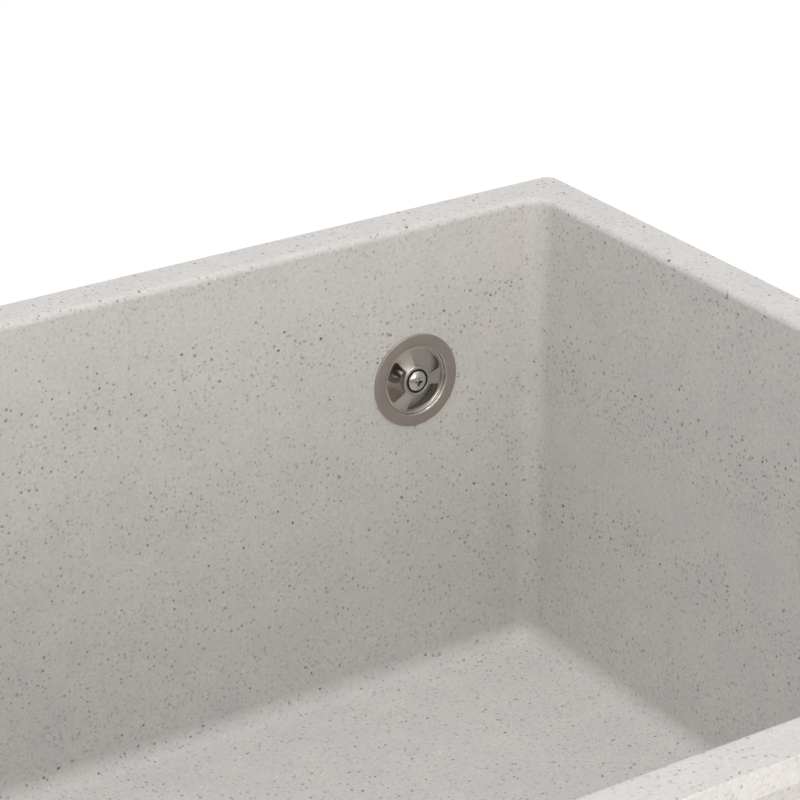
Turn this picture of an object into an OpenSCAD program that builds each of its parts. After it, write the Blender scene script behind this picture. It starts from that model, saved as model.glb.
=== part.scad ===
// Undermount kitchen sink of quartz composite, with its overflow, basket waste and hanger brackets.
// Millimetres. The origin is the centre of the rim's top face, +X along the sink, +Y to the overflow wall.

/* [Rim and bowl] */
// Outside width of the rim, left to right
rim_width = 540; // [500:1:700]
// Outside depth of the rim, front to back
rim_depth = 440; // [420:1:520]
// Depth of the bowl at its walls
bowl_depth = 210; // [195:1:225]
// Width of the rim, from its outer edge to the plane of the wall
rim_flat = 19; // [18:0.5:24]
// Thickness of the rim
rim_t = 10; // [8:0.5:12]
// Radius of the rim's outer corners
rim_corner_r = 5; // [4:0.5:12]
// Round from the rim's top into the bowl
rim_round_r = 3; // [1:0.5:5]
// Thickness of the bowl's walls
wall_t = 8.5; // [7:0.5:9]
// Lean of the bowl's walls from upright, in degrees
draft = 2.5; // [1.5:0.1:3]
// Radius of the bowl's inside corners and of the round between its walls and its floor
bowl_corner_r = 9.5; // [8:0.1:12]
// Radius of the bowl's outside corners at the rim
shell_corner_r = 22; // [20:0.5:26]
// Round under the bowl, between its walls and its underside
under_round_r = 9; // [7:0.5:10]
// Thickness of the floor
floor_t = 10; // [8:0.5:14]
// Fall of the floor to the drain
floor_fall = 4; // [2:0.5:6]
// Radius of the sloping floor round the drain
fall_r = 92; // [80:1:94]

/* [Drain seat] */
// Distance from the rim's back edge to the drain's centre
drain_set = 134; // [130:1:180]
// Drain hole
drain_hole_d = 90; // [88:0.5:94]
// Composite left under the strainer's flange
seat_t = 11; // [9:0.5:14]
// Round pad under the drain
drain_pad_d = 130; // [120:1:150]

/* [Hanger brackets] */
// Distance of the back and front brackets from the sink's middle
bracket_x = 130; // [90:1:140]
// Distance of the side brackets from the sink's middle
bracket_y = 100; // [70:1:130]
// Width of a bracket
bracket_w = 22; // [20:0.5:24]
// Thickness of a bracket's sheet
bracket_t = 2; // [1.5:0.1:3]
// Reach of a bracket past the rim
bracket_reach = 20; // [18:0.5:26]
// Height of a bracket's turned-down edges
bracket_edge = 7; // [5:0.5:10]
// Hole for the worktop fixing, past the rim's edge
worktop_hole_out = 11; // [10:0.5:12]
// Diameter of the worktop fixing's hole
worktop_hole_d = 6.5; // [5.5:0.1:8]
// Width of the lug that a bracket is screwed to
lug_w = 30; // [26:0.5:36]
// Depth of a lug below the rim's top
lug_h = 18; // [16:0.5:24]
// Distance of a bracket's screw from the rim's edge
lug_screw_in = 6.2; // [6:0.1:6.6]
// Thickness of the washer under a bracket
washer_t = 1; // [0.8:0.1:1.5]
// Bracket screw
bracket_screw_d = 5; // [4:0.5:5]
// Length of the bracket screw under its head
bracket_screw_len = 12; // [10:0.5:13]
// Outside diameter of the threaded insert in a lug
lug_insert_d = 7; // [6.5:0.1:7.4]
// Length of the threaded insert in a lug
lug_insert_len = 9; // [7:0.5:10]

/* [Overflow cover] */
// Distance from the rim's outer right edge to the overflow's centre
overflow_in = 86.7; // [80:0.1:100]
// Depth of the overflow's centre below the rim's top
overflow_down = 69.8; // [60:0.1:80]
// Outside diameter of the cover
cover_d = 42; // [40:0.5:46]
// Sheet of the cover
cover_t = 1; // [0.8:0.1:1.2]
// Diameter of the dished middle
dish_d = 31; // [29:0.5:32]
// Depth of the dish's outer ring below the flange's front
dish_h = 2.3; // [2:0.1:3]
// Diameter of the hub that stands up in the dish
hub_d = 13.3; // [12.8:0.1:13.5]
// How far the hub's front stands in front of the wall
hub_front = 1.9; // [1.4:0.1:2.2]
// Step from the spokes up to the hub's front
hub_step = 0.3; // [0.2:0.1:0.5]
// Depth of the hub, front to back
hub_h = 3.6; // [3.6:0.1:4]
// Depth of the round seat for the screw's head in the hub
seat_h = 0.8; // [0.5:0.1:0.8]
// Inner diameter of the three windows
window_in_d = 13.8; // [13.6:0.1:15]
// Outer diameter of the three windows
window_out_d = 28; // [26:0.5:28.5]
// Width of the three spokes at the hub
spoke_in_w = 4.8; // [4:0.1:6]
// Width of the three spokes at the dish's ring
spoke_w = 7.8; // [6:0.1:9]
// Turn of the spokes on the wall
cover_turn = -5; // [-10:1:10]
// Overflow hole in the wall
overflow_hole_d = 34; // [33.5:0.5:36]
// Overflow screw
cover_screw_d = 5; // [4:0.5:5]
// Head of the overflow screw
cover_head_d = 9.2; // [8.6:0.1:9.4]
// Height of the straight edge of the screw's head
head_edge = 1; // [0.8:0.1:1.2]
// Height of the domed top of the screw's head
cover_dome_h = 1.3; // [0.8:0.1:1.5]
// Turn of the cross recess
cross_turn = -8; // [-45:1:45]

/* [Overflow body] */
// Gasket between the wall and the overflow body
overflow_gasket_t = 2; // [1:0.5:3]
// Outside diameter of the body's flange
body_flange_d = 52; // [48:0.5:54]
// Thickness of the body's flange
body_flange_t = 3; // [2:0.5:4]
// Inside diameter of the body
body_inner_d = 35.6; // [35:0.1:37]
// Wall of the body
body_wall = 2.2; // [2:0.1:3]
// Inside depth of the body behind its flange
body_inner_h = 25.5; // [25:0.5:30]
// Boss that takes the cover's screw
boss_d = 12; // [11:0.5:13]
// Outside diameter of the insert in the boss
boss_insert_d = 7.2; // [7:0.1:8]
// Length of the insert in the boss
boss_insert_len = 12; // [10:0.5:14]
// Length of the threaded spigot, from the overflow's centre down
spigot_len = 43; // [42:0.5:50]

/* [Hose and its fittings] */
// Outside diameter of the threaded spigots
spigot_d = 26; // [25:0.5:26.5]
// Bore of the spigots, cuffs and hose
hose_bore = 16; // [14:0.5:16.5]
// Outside diameter of the ribbed hose
hose_d = 20; // [19:0.5:21]
// Radius of the hose's bend
bend_r = 98; // [90:1:98]
// Depth of the hose's ribs
rib_h = 1.2; // [0.8:0.1:1.3]
// Number of ribs on the hose
rib_count = 60; // [40:1:80]
// Thickness of the hose seals
hose_seal_t = 2; // [1:0.5:3]
// Thickness of the collar on a hose cuff
collar_t = 2.5; // [2:0.5:4]
// Diameter of the collar on a hose cuff
collar_d = 24; // [23:0.5:24.5]
// Length of a cuff past its collar
cuff_len = 9.5; // [8:0.5:12]
// Outside diameter of the hose nuts
hose_nut_d = 34; // [31:0.5:34]
// Length of a nut on the spigot's thread
nut_grip = 10; // [8:0.5:12]
// Thickness of the nut's inner lip
nut_lip = 2.4; // [2:0.1:3]

/* [Strainer cup] */
// Outside diameter of the cup's flange
cup_flange_d = 114; // [112:0.5:118]
// Sheet of the cup
cup_t = 1.2; // [0.8:0.1:1.5]
// Seal under the cup's flange
cup_seal_t = 1.5; // [1:0.1:2]
// Depth from the flange to the ledge in the cup
cup_depth = 32; // [30:0.5:36]
// Depth from the ledge to the grid
grid_drop = 8; // [8:0.5:10]
// Inside diameter of the sump over the grid
sump_d = 52; // [48:0.5:54]
// Height of the sloping shoulder under the flange
shoulder_h = 6; // [5:0.5:7]
// Width of the sloping shoulder
shoulder_w = 3.5; // [3:0.5:4]
// Number of holes in the grid
grid_holes = 8; // [6:1:9]
// Diameter of the grid's holes
grid_hole_d = 9; // [7:0.5:9.5]
// Circle that the grid's holes lie on
grid_ring_d = 34; // [32:0.5:36]

/* [Waste body] */
// Gasket between the bowl's underside and the waste body
waste_gasket_t = 3; // [2:0.5:4]
// Outside diameter of the waste body's flange
waste_flange_d = 108; // [106:0.5:116]
// Thickness of the waste body's flange
waste_flange_t = 4; // [3:0.5:6]
// Inside diameter of the chamber
chamber_d = 86; // [85:0.5:88]
// Wall of the chamber
chamber_t = 3; // [2.5:0.5:4]
// Radius of the overflow port's end
port_end = 72; // [70:0.5:76]
// Outside diameter of the outlet's thread
outlet_d = 47.8; // [46:0.1:50]
// Bore of the outlet
outlet_bore = 39; // [36:0.5:41]
// Length of the outlet's thread
outlet_len = 24; // [20:0.5:30]
// Clamp screw through the grid
clamp_screw_d = 6; // [5:0.5:6]
// Head of the clamp screw
clamp_head_d = 12; // [11:0.5:14]
// Height of the clamp screw's head
clamp_head_h = 3.5; // [3:0.1:4]
// Boss that takes the clamp screw
clamp_boss_d = 15; // [14:0.5:17]
// Outside diameter of the clamp screw's insert
clamp_insert_d = 9; // [8.5:0.5:10]
// Length of the clamp screw's insert
clamp_insert_len = 10; // [8:0.5:12]

/* [Basket and stopper] */
// Sheet of the basket
basket_t = 0.8; // [0.6:0.1:1]
// Diameter of the basket's floor
basket_floor_d = 66; // [60:0.5:68]
// Diameter of the basket's mouth
basket_mouth_d = 76; // [74:0.5:78]
// Depth of the basket's lip below the cup's flange
lip_down = 3; // [2:0.5:4]
// Number of slots round the basket's wall
wall_slots = 24; // [12:1:30]
// Width of a slot
slot_w = 3; // [2:0.5:4]
// Number of holes in each ring of the basket's floor
floor_holes = 12; // [8:1:14]
// Diameter of the floor's holes
floor_hole_d = 4; // [3:0.5:4.5]
// Outside diameter of the sleeve that guides the post
sleeve_d = 10; // [9:0.5:12]
// Diameter of the post
post_d = 6; // [5:0.5:6]
// Travel of the stopper
stopper_travel = 6; // [4:0.5:6]
// Diameter of the rubber stopper
stopper_d = 60; // [58:0.5:62]
// Thickness of the rubber stopper
stopper_t = 3; // [2.5:0.1:3]
// Diameter of the stopper's backing plate
plate_d = 58; // [50:0.5:58]
// Thickness of the stopper's backing plate
plate_t = 1.2; // [1:0.1:1.5]
// Thickness of the nut under the stopper
stopper_nut_h = 3; // [2:0.5:3.5]
// Diameter of the knob
knob_d = 24; // [18:0.5:28]
// Height of the knob
knob_h = 8; // [6:0.5:9]

/* [Clearances] */
// Radial clearance of threads and of screws in their holes
fit_gap = 0.05; // [0.02:0.01:0.1]
// Gap between a soft or loose piece and its seat
seat_gap = 0.3; // [0.2:0.05:0.4]
// Gap round the strainer cup in the drain hole
cup_gap = 3.8; // [3:0.1:4]
// Gap round the strainer's flange in its recess
recess_gap = 1; // [0.5:0.1:1.5]
// Clearance of a plain screw hole
hole_gap = 0.3; // [0.1:0.1:0.5]

/* [Hidden] */
$fn = 96;

// Length that a cutting shape runs past what it cuts
cut = 1;
lean = tan(draft);
upright = cos(draft);

// Bowl
half_w = rim_width / 2 - rim_flat;
half_d = rim_depth / 2 - rim_flat;
corner_reach = bowl_corner_r / upright;
mouth_bite = 0.1;
shell_w = half_w + wall_t / upright;
shell_d = half_d + wall_t / upright;
shell_depth = bowl_depth + floor_t;
under_r = min(under_round_r, shell_corner_r - shell_depth * lean);
overhang = rim_flat - wall_t / upright;
gasket_inset = 1;

// Heights round the drain
recess_h = cup_seal_t + cup_t;
seat_z = -(bowl_depth + floor_fall + recess_h);
pad_z = seat_z - seat_t;
cup_top_z = seat_z + recess_h;
ledge_z = cup_top_z - cup_depth;
grid_z = ledge_z - grid_drop;
clamp_boss_z = grid_z - cup_t;
waste_top_z = pad_z - waste_gasket_t;
drain_y = rim_depth / 2 - drain_set;
cup_r = drain_hole_d / 2 - cup_gap;
cup_inner_r = cup_r - cup_t;
port_drop = hose_bore / 2 + chamber_t;
port_sill = 2.5;
port_z = clamp_boss_z - port_drop;
chamber_z = port_z - hose_bore / 2 - port_sill;
waste_low_z = chamber_z - chamber_t;
outlet_z = waste_low_z - outlet_len;

// Overflow
overflow_x = rim_width / 2 - overflow_in;
overflow_y = half_d - overflow_down * lean;
cup_front = wall_t + overflow_gasket_t + body_flange_t;
spigot_in = cup_front + body_inner_h / 2;
spigot_y = overflow_y + spigot_in * upright;
spigot_z = -overflow_down - spigot_len;
dish_floor = cover_t - dish_h;
spoke_top = hub_front - hub_step;
head_gap = 0.5;
head_seat_d = cover_head_d + 2 * head_gap;
cover_bore = cover_screw_d + 2 * fit_gap;
cone_h = (cover_head_d - cover_screw_d) / 2;
head_z = hub_front - seat_h;
boss_insert_low = cup_front + boss_insert_len;

// Hose, in the upright plane through the spigot and the drain
port_angle = atan2(spigot_y - drain_y, overflow_x);
hose_span = norm([overflow_x, spigot_y - drain_y]);
fitting_len = hose_seal_t + collar_t + cuff_len;
hose_top_z = spigot_z - fitting_len;
hose_end_in = hose_span - port_end - fitting_len;

// Route of the hose: how far in from the spigot's axis, and how far over the port's axis
hose_plan = concat(
    [for (k = [0 : 2]) [0, (hose_top_z - port_z) * (3 - k) / 3 + bend_r * k / 3]],
    [for (a = [0 : 10 : 90]) [bend_r * (1 - cos(a)), bend_r * (1 - sin(a))]],
    [for (k = [1 : 3]) [bend_r + (hose_end_in - bend_r) * k / 3, 0]]
);

// Basket, its slots and its two rings of holes as parts of its height and of its floor's radius
slot_start = 0.25;
slot_share = 0.55;
hole_rings = [0.5, 0.78];
lip_z = cup_top_z - lip_down;
lip_r = cup_inner_r + shoulder_w * (shoulder_h - lip_down) / shoulder_h - seat_gap;
stopper_z = ledge_z + seat_gap;
plate_z = stopper_z + stopper_t;
basket_floor_z = plate_z + plate_t + stopper_travel + seat_gap;
sleeve_z = cup_top_z - knob_h / 2;
post_low_z = stopper_z - stopper_nut_h;
post_top_z = sleeve_z + seat_gap + knob_h / 2;

// Hexagon heads and nuts, as multiples of the thread's diameter
hex_w = 1.84;
hex_h = 0.7;

module ring(outer_d, inner_d, h) {
    difference() {
        cylinder(d = outer_d, h = h);
        translate([0, 0, -cut]) cylinder(d = inner_d, h = h + 2 * cut);
    }
}

// Half of a wall's section, from a corner's upright axis out to the wall, with the round at its foot
module wall_section(reach, h, r) {
    centre_x = reach - (h - r) * lean - r / upright;
    polygon([
        [0, 0], [reach, 0],
        [centre_x + r * upright, -h + r - r * sin(draft)],
        [centre_x, -h], [0, -h]
    ]);
    intersection() {
        translate([centre_x, -h + r]) circle(r);
        translate([centre_x, -h]) square(r);
    }
}

// Section of the cut that rounds the rim's inner edge, from a corner's upright axis
module mouth_section() {
    r = rim_round_r;
    centre_x = corner_reach - r * lean + r / upright - mouth_bite;
    difference() {
        translate([centre_x - 2 * r, -r]) square([2 * r, r + cut]);
        translate([centre_x, -r]) circle(r);
    }
}

// A section carried round a rounded rectangle: four corners and four walls
module carried_round(w, d, reach) {
    x0 = w - reach;
    y0 = d - reach;
    for (a = [0 : 3]) {
        x = a == 0 || a == 3 ? x0 : -x0;
        y = a < 2 ? y0 : -y0;
        translate([x, y, 0]) rotate([0, 0, 90 * a]) rotate_extrude(angle = 90) children();
    }
    for (s = [-1, 1]) {
        translate([x0 * s, y0 * s, 0]) rotate([90, 0, 90 - 90 * s]) linear_extrude(2 * y0) children();
        translate([-x0 * s, y0 * s, 0]) rotate([90, 0, 90 * s]) linear_extrude(2 * x0) children();
    }
}

// Inside of the bowl: a ball carried over a tapering block, with its mouth rounded
module cavity() {
    ball_sides = 32;
    ball_r = bowl_corner_r / cos(180 / ball_sides);
    low_z = bowl_corner_r - bowl_depth;
    high_z = 3 * bowl_corner_r;
    intersection() {
        hull() for (z = [low_z, high_z], x = [-1, 1], y = [-1, 1]) {
            in = corner_reach - z * lean;
            translate([x * (half_w - in), y * (half_d - in), z]) sphere(ball_r, $fn = ball_sides);
        }
        translate([-rim_width, -rim_width, -rim_width]) cube([2 * rim_width, 2 * rim_width, rim_width + cut]);
    }
    carried_round(half_w, half_d, corner_reach) mouth_section();
}

module rim_outline() {
    r = rim_corner_r;
    square([rim_width - 2 * r, rim_depth], center = true);
    square([rim_width, rim_depth - 2 * r], center = true);
    for (x = [-1, 1], y = [-1, 1])
        translate([x * (rim_width / 2 - r), y * (rim_depth / 2 - r)]) circle(r);
}

// Eight places under the rim's edge, with +Y pointing out of the sink
module at_brackets() {
    for (s = [-1, 1]) {
        for (t = [-1, 1]) {
            translate([t * bracket_x, s * rim_depth / 2, 0]) rotate([0, 0, 90 - 90 * s]) children();
            translate([s * rim_width / 2, t * bracket_y, 0]) rotate([0, 0, -90 * s]) children();
        }
    }
}

// On the overflow's centre: +Z out of the wall into the bowl, +Y up the wall
module on_wall() {
    translate([overflow_x, overflow_y, -overflow_down]) rotate([90 - draft, 0, 0]) children();
}

// At the end of the overflow body's spigot, with +Z down along the hose
module at_spigot() {
    translate([overflow_x, spigot_y, spigot_z]) rotate([180, 0, 0]) children();
}

// At the end of the waste body's port, with +Z out along the hose
module at_port() {
    translate([0, drain_y, port_z]) rotate([0, 0, port_angle]) rotate([0, 90, 0])
        translate([0, 0, port_end]) children();
}

module at_drain(z) {
    translate([0, drain_y, z]) children();
}

module lugs() {
    lug_in = overhang + wall_t / 2;
    lug_out = 1;
    at_brackets() translate([-lug_w / 2, -lug_in, -lug_h]) cube([lug_w, lug_in - lug_out, lug_h - rim_t / 2]);
}

module bowl() {
    color("gainsboro") difference() {
        union() {
            translate([0, 0, -rim_t]) linear_extrude(rim_t) rim_outline();
            carried_round(shell_w, shell_d, shell_corner_r)
                wall_section(shell_corner_r, shell_depth, under_r);
            translate([shell_corner_r - shell_w, shell_corner_r - shell_d, -shell_depth])
                cube([2 * (shell_w - shell_corner_r), 2 * (shell_d - shell_corner_r), shell_depth]);
            lugs();
            at_drain(pad_z) cylinder(d = drain_pad_d, h = -pad_z - bowl_depth - floor_fall);
        }
        cavity();
        at_drain(-bowl_depth - floor_fall)
            cylinder(r1 = cup_flange_d / 2, r2 = fall_r, h = floor_fall);
        at_drain(seat_z) cylinder(d = cup_flange_d + 2 * recess_gap, h = recess_h + cut);
        at_drain(pad_z - cut) cylinder(d = drain_hole_d, h = seat_t + 2 * cut);
        on_wall() translate([0, 0, -wall_t - cut]) cylinder(d = overflow_hole_d, h = wall_t + 2 * cut);
        at_brackets() translate([0, -lug_screw_in, -lug_h - cut])
            cylinder(d = lug_insert_d, h = bracket_screw_len - bracket_t + cut);
    }
}

module lug_inserts() {
    color("goldenrod") at_brackets() translate([0, -lug_screw_in, -lug_h])
        ring(lug_insert_d, bracket_screw_d + 2 * fit_gap, lug_insert_len);
}

module hanger_brackets() {
    inner = overhang + lug_h * lean - seat_gap;
    color("silver") at_brackets() translate([0, 0, -lug_h]) difference() {
        union() {
            translate([-bracket_w / 2, -inner, -bracket_t])
                cube([bracket_w, inner + bracket_reach, bracket_t]);
            for (s = [-1, 1])
                translate([s * (bracket_w - bracket_t) / 2 - bracket_t / 2, 0, -bracket_edge])
                    cube([bracket_t, bracket_reach, bracket_edge]);
        }
        translate([0, -lug_screw_in, -bracket_t - cut])
            cylinder(d = bracket_screw_d + 2 * hole_gap, h = bracket_t + 2 * cut);
        translate([0, worktop_hole_out, -bracket_t - cut])
            cylinder(d = worktop_hole_d, h = bracket_t + 2 * cut);
    }
}

module bracket_washers() {
    color("lightgray") at_brackets() translate([0, -lug_screw_in, -lug_h - bracket_t - washer_t])
        ring(2 * bracket_screw_d, bracket_screw_d + 2 * hole_gap, washer_t);
}

// Hexagon-headed screws that hold the brackets, their heads below
module bracket_screws() {
    head_h = bracket_screw_d * hex_h;
    shank = bracket_screw_len - 2 * cut;
    color("silver") at_brackets() translate([0, -lug_screw_in, -lug_h - bracket_t - washer_t]) {
        cylinder(d = bracket_screw_d, h = shank);
        translate([0, 0, -head_h]) cylinder(d = bracket_screw_d * hex_w, h = head_h, $fn = 6);
    }
}

// Pressed cover: a flat flange, a dish whose three spokes rise to the hub, and a seat for the screw
module overflow_cover() {
    color("rosybrown") on_wall() difference() {
        rotate_extrude() polygon([
            [cover_bore / 2, hub_front - hub_h],
            [cover_bore / 2, head_z - cone_h],
            [cover_head_d / 2 + fit_gap, head_z],
            [head_seat_d / 2, head_z],
            [head_seat_d / 2, hub_front],
            [hub_d / 2, hub_front],
            [hub_d / 2, spoke_top],
            [window_out_d / 2, dish_floor],
            [dish_d / 2, dish_floor],
            [dish_d / 2, cover_t],
            [cover_d / 2, cover_t],
            [cover_d / 2, 0],
            [dish_d / 2 + cover_t, 0],
            [dish_d / 2 + cover_t, dish_floor - cover_t],
            [window_out_d / 2, dish_floor - cover_t],
            [hub_d / 2, spoke_top - cover_t],
            [hub_d / 2, hub_front - hub_h]
        ]);
        translate([0, 0, dish_floor - cover_t - cut])
            linear_extrude(hub_front - dish_floor + cover_t + 2 * cut) difference() {
                circle(d = window_out_d);
                circle(d = window_in_d);
                for (a = [0 : 2]) rotate([0, 0, cover_turn + 120 * a]) polygon([
                    [0, -spoke_in_w / 2],
                    [window_in_d / 2, -spoke_in_w / 2],
                    [window_out_d / 2, -spoke_w / 2],
                    [cover_d / 2, -spoke_w / 2],
                    [cover_d / 2, spoke_w / 2],
                    [window_out_d / 2, spoke_w / 2],
                    [window_in_d / 2, spoke_in_w / 2],
                    [0, spoke_in_w / 2]
                ]);
            }
    }
}

module overflow_screw() {
    dome_r = (pow(cover_head_d / 2, 2) + pow(cover_dome_h, 2)) / (2 * cover_dome_h);
    dome_z = head_z + head_edge;
    blade = 1;
    color("silver") on_wall() difference() {
        union() {
            translate([0, 0, -boss_insert_low + cut])
                cylinder(d = cover_screw_d, h = head_z + boss_insert_low - cut);
            translate([0, 0, head_z - cone_h]) cylinder(d1 = cover_screw_d, d2 = cover_head_d, h = cone_h);
            translate([0, 0, head_z]) cylinder(d = cover_head_d, h = head_edge);
            intersection() {
                translate([0, 0, dome_z + cover_dome_h - dome_r]) sphere(dome_r);
                translate([0, 0, dome_z]) cylinder(d = cover_head_d, h = 2 * cover_dome_h);
            }
        }
        for (a = [0, 90]) rotate([0, 0, cross_turn + a])
            translate([-cover_screw_d / 2, -blade / 2, dome_z - blade])
                cube([cover_screw_d, blade, blade + 2 * cover_dome_h]);
    }
}

module overflow_gasket() {
    color("dimgray") on_wall() translate([0, 0, -wall_t - overflow_gasket_t])
        ring(body_flange_d - 2 * gasket_inset, overflow_hole_d + 2 * gasket_inset, overflow_gasket_t);
}

// Plastic cup behind the wall, with its boss and its spigot for the hose
module overflow_body() {
    back = cup_front + body_inner_h + body_wall;
    color("gainsboro") {
        difference() {
            union() {
                on_wall() {
                    translate([0, 0, -cup_front]) cylinder(d = body_flange_d, h = body_flange_t);
                    translate([0, 0, -back])
                        cylinder(d = body_inner_d + 2 * body_wall, h = back - cup_front + cut);
                }
                translate([overflow_x, spigot_y, spigot_z]) cylinder(d = spigot_d, h = spigot_len);
            }
            on_wall() translate([0, 0, -back + body_wall])
                cylinder(d = body_inner_d, h = body_inner_h + body_flange_t + cut);
            translate([overflow_x, spigot_y, spigot_z - cut]) cylinder(d = hose_bore, h = spigot_len);
        }
        on_wall() translate([0, 0, -back + body_wall / 2]) difference() {
            cylinder(d = boss_d, h = body_inner_h + body_wall / 2);
            translate([0, 0, body_inner_h + body_wall / 2 - boss_insert_len])
                cylinder(d = boss_insert_d, h = boss_insert_len + cut);
        }
    }
}

module overflow_insert() {
    color("goldenrod") on_wall() translate([0, 0, -boss_insert_low])
        ring(boss_insert_d, cover_screw_d + 2 * fit_gap, boss_insert_len);
}

module hose_seal() {
    ring(collar_d - 2 * gasket_inset, hose_bore, hose_seal_t);
}

module hose_cuff() {
    translate([0, 0, hose_seal_t]) {
        ring(collar_d, hose_bore, collar_t);
        ring(hose_d, hose_bore, collar_t + cuff_len);
    }
}

// Twelve-sided nut that draws the cuff's collar and the seal to the spigot
module hose_nut() {
    lip_z0 = hose_seal_t + collar_t + fit_gap;
    difference() {
        translate([0, 0, -nut_grip]) cylinder(d = hose_nut_d, h = nut_grip + lip_z0 + nut_lip, $fn = 12);
        translate([0, 0, -nut_grip - cut]) cylinder(d = spigot_d + 2 * fit_gap, h = nut_grip + cut + lip_z0);
        cylinder(d = hose_d + 2 * seat_gap, h = lip_z0 + nut_lip + cut);
    }
}

module upper_hose_seal() {
    color("dimgray") at_spigot() hose_seal();
}

module upper_hose_cuff() {
    color("lightslategray") at_spigot() hose_cuff();
}

module upper_hose_nut() {
    color("darkslategray") at_spigot() hose_nut();
}

module lower_hose_seal() {
    color("dimgray") at_port() hose_seal();
}

module lower_hose_cuff() {
    color("lightslategray") at_port() hose_cuff();
}

module lower_hose_nut() {
    color("darkslategray") at_port() hose_nut();
}

// A point on the smooth curve through the route, between points i and i + 1
function plan_at(i) = hose_plan[max(0, min(len(hose_plan) - 1, i))];
function smooth(i, u) =
    let (a = plan_at(i - 1), b = plan_at(i), c = plan_at(i + 1), d = plan_at(i + 2))
    ((2 * b) + (c - a) * u + (2 * a - 5 * b + 4 * c - d) * u * u + (3 * b - a - 3 * c + d) * u * u * u) / 2;
steps = 6;
fine = [
    for (i = [0 : len(hose_plan) - 2], k = [0 : steps - 1]) smooth(i, k / steps),
    plan_at(len(hose_plan))
];
run = [for (i = 0, s = 0; i < len(fine);
    i = i + 1, s = s + (i < len(fine) ? norm(fine[i] - fine[i - 1]) : 0)) s];
hose_len = run[len(run) - 1];
along_in = [for (i = [0 : len(fine) - 1]) [run[i], fine[i].x]];
along_up = [for (i = [0 : len(fine) - 1]) [run[i], fine[i].y]];
function hose_at(s) = [lookup(s, along_in), lookup(s, along_up)];
function hose_dir(s) =
    let (step = hose_len / rib_count / 2, d = hose_at(min(hose_len, s + step)) - hose_at(max(0, s - step)))
    d / norm(d);
// A ring of eight points round the hose's line, at a length along it
function hose_ring(s, r) =
    let (p = hose_at(s), d = hose_dir(s), sides = 8)
    [for (k = [0 : sides - 1])
        let (side = r * cos(360 * k / sides), out = r * sin(360 * k / sides),
            reach = hose_span - (p.x - out * d.y), up = port_z + p.y + out * d.x)
        [reach * cos(port_angle) - side * sin(port_angle),
            drain_y + reach * sin(port_angle) + side * cos(port_angle), up]];

// Ribbed hose: the outside has a root and a crest for each rib, and the bore is smooth
module overflow_hose() {
    outer_n = 2 * rib_count + 1;
    inner_n = 31;
    sides = 8;
    outer = [for (k = [0 : outer_n - 1])
        hose_ring(hose_len * k / (outer_n - 1), hose_d / 2 - (k % 2 == 0 ? rib_h : 0))];
    inner = [for (k = [0 : inner_n - 1]) hose_ring(hose_len * k / (inner_n - 1), hose_bore / 2)];
    points = [for (r = concat(outer, inner), p = r) p];
    first_in = outer_n * sides;
    last_in = first_in + (inner_n - 1) * sides;
    last_out = (outer_n - 1) * sides;
    outer_faces = [for (k = [0 : outer_n - 2], j = [0 : sides - 1])
        let (a = k * sides + j, b = k * sides + (j + 1) % sides)
        each [[a, b, b + sides], [a, b + sides, a + sides]]];
    inner_faces = [for (k = [0 : inner_n - 2], j = [0 : sides - 1])
        let (a = first_in + k * sides + j, b = first_in + k * sides + (j + 1) % sides)
        each [[a, b + sides, b], [a, a + sides, b + sides]]];
    end_faces = [for (j = [0 : sides - 1])
        let (i = (j + 1) % sides)
        each [
            [j, first_in + j, first_in + i], [j, first_in + i, i],
            [last_out + j, last_in + i, last_in + j], [last_out + j, last_out + i, last_in + i]
        ]];
    color("darkgray") polyhedron(points, concat(outer_faces, inner_faces, end_faces), convexity = 6);
}

// Pressed cup in the drain: flange, sloping shoulder, ledge, and a sump with the grid
module strainer_cup() {
    r = cup_inner_r;
    sump_r = sump_d / 2;
    color("lightsteelblue") at_drain(cup_top_z) difference() {
        rotate_extrude() polygon([
            [0, -cup_depth - grid_drop - cup_t], [sump_r + cup_t, -cup_depth - grid_drop - cup_t],
            [sump_r + cup_t, -cup_depth - cup_t], [cup_r, -cup_depth - cup_t],
            [cup_r, -shoulder_h - cup_t], [cup_r + shoulder_w, -cup_t],
            [cup_flange_d / 2, -cup_t], [cup_flange_d / 2, 0], [r + shoulder_w, 0],
            [r, -shoulder_h], [r, -cup_depth], [sump_r, -cup_depth],
            [sump_r, -cup_depth - grid_drop], [0, -cup_depth - grid_drop]
        ]);
        translate([0, 0, -cup_depth - grid_drop - cup_t - cut]) {
            cylinder(d = clamp_screw_d + 2 * hole_gap, h = cup_t + 2 * cut);
            for (k = [1 : grid_holes]) rotate([0, 0, 360 * k / grid_holes])
                translate([grid_ring_d / 2, 0, 0]) cylinder(d = grid_hole_d, h = cup_t + 2 * cut);
        }
    }
}

module strainer_seal() {
    color("dimgray") at_drain(seat_z)
        ring(cup_flange_d - 2 * gasket_inset, drain_hole_d + 2 * gasket_inset, cup_seal_t);
}

module waste_gasket() {
    color("dimgray") at_drain(waste_top_z)
        ring(waste_flange_d - 2 * gasket_inset, drain_hole_d + 2 * gasket_inset, waste_gasket_t);
}

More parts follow.
